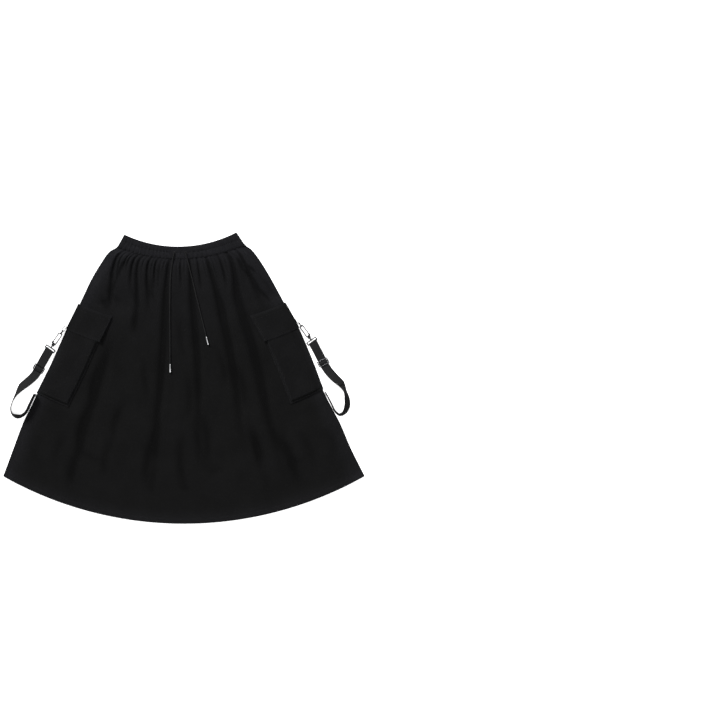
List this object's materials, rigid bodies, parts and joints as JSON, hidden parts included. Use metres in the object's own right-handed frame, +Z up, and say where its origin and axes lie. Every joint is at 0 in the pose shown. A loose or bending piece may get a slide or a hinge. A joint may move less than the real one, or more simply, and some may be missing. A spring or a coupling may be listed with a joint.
{
  "type": "cargo skirt",
  "caption": "Long flared cargo skirt laid flat, with an elastic drawstring waist, two flapped side pockets and a hook-on webbing strap at each pocket.",
  "frame": {"origin": "middle of the garment's box without its drawstrings, on the surface that it lies on", "axes": "+X towards the wearer's left, +Y from hem to waist, +Z up from the surface, out of the front's face"},
  "size_m": [1.03, 0.83, 0.0251],
  "materials": {
    "cloth": "matte, dense cotton-like weave, black",
    "thread": "satin, black",
    "webbing": "satin, ribbed weave, charcoal",
    "metal": "polished, black nickel",
    "cord": "satin, round braid, black",
    "tips": "polished, silver"
  },
  "bodies": {
    "skirt": {"front_panel": "cloth", "back_panel": "cloth", "waistband": "cloth", "eyelet_right": "thread", "eyelet_left": "thread", "pocket_bag_right": "cloth", "pocket_bag_left": "cloth", "pocket_flap_right": "cloth", "pocket_flap_left": "cloth", "ring_tab_right": "webbing", "ring_tab_left": "webbing", "ring_right": "metal", "ring_left": "metal", "hook_body_right": "metal", "hook_body_left": "metal", "swivel_eye_right": "metal", "swivel_eye_left": "metal", "strap_right": "webbing", "strap_left": "webbing", "slider_right": "metal", "slider_left": "metal", "drawstring_right": "cord", "drawstring_left": "cord", "tip_right": "tips", "tip_left": "tips"},
    "gate_right": {"hook_gate_right": "metal"},
    "gate_left": {"hook_gate_left": "metal"}
  },
  "joints": [
    {"name": "gate_right_hinge", "type": "hinge", "parent": "skirt", "child": "gate_right", "pos_m": [-0.37238, 0.10347, 0.00641], "axis": [0.0577, 0.0811, -0.995], "range_deg": [0, 14], "stiffness_Nm_per_rad": 0.002},
    {"name": "gate_left_hinge", "type": "hinge", "parent": "skirt", "child": "gate_left", "pos_m": [0.35656, 0.1252, 0.00641], "axis": [0.0577, -0.0811, 0.995], "range_deg": [0, 14], "stiffness_Nm_per_rad": 0.002}
  ]
}
